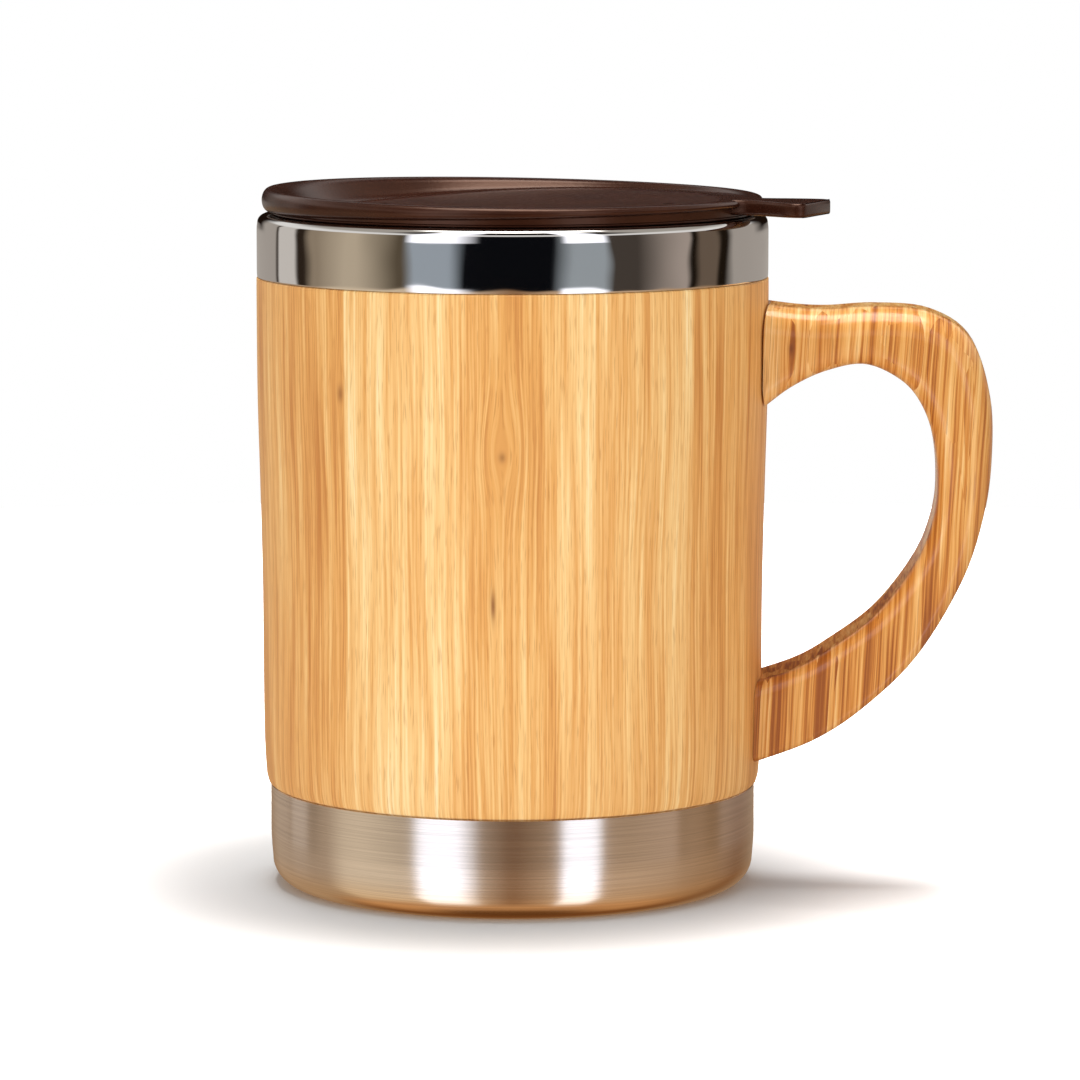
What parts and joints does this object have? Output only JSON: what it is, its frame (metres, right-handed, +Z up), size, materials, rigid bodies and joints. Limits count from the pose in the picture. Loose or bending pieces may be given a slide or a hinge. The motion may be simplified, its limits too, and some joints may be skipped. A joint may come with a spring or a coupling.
{
  "type": "handled bamboo and steel drinking mug with lid",
  "caption": "Double-walled steel drinking cup in a bamboo sleeve, with a bamboo hook handle and a plug-in plastic lid with a lifting tab.",
  "frame": {"origin": "on the cup's axis, at the level of the face that the base rests on", "axes": "+Z up along the cup's axis, +X towards the handle, +Y towards the side away from the viewer who has the handle on the right"},
  "size_m": [0.1222, 0.0852, 0.1164],
  "materials": {
    "liner_steel": "satin",
    "polished_steel": "mirror polished",
    "base_steel": "brushed round the axis",
    "sleeve_bamboo": "clear satin lacquer on vertical-grain bamboo",
    "handle_bamboo": "clear gloss lacquer on laminated bamboo",
    "screw_steel": "zinc plated",
    "lid_plastic": "moulded, semi-gloss, with a grained floor",
    "seal_silicone": "matte"
  },
  "bodies": {
    "cup": {"inner_cup": "liner_steel", "outer_wall": "polished_steel", "bottom_disc": "liner_steel", "base_cup": "base_steel", "bamboo_sleeve": "sleeve_bamboo", "handle": "handle_bamboo", "handle_screw_upper": "screw_steel", "handle_screw_lower": "screw_steel"},
    "seal": {"lid_seal": "seal_silicone"},
    "lid": {"lid": "lid_plastic"}
  },
  "joints": [
    {"name": "lid_lift", "type": "slide", "parent": "cup", "child": "seal", "axis": [0, 0, 1], "range_m": [0, 0.06]},
    {"name": "lid_turn", "type": "hinge", "parent": "seal", "child": "lid", "pos_m": [0, 0, 0.112], "axis": [0, 0, 1], "continuous": true}
  ]
}
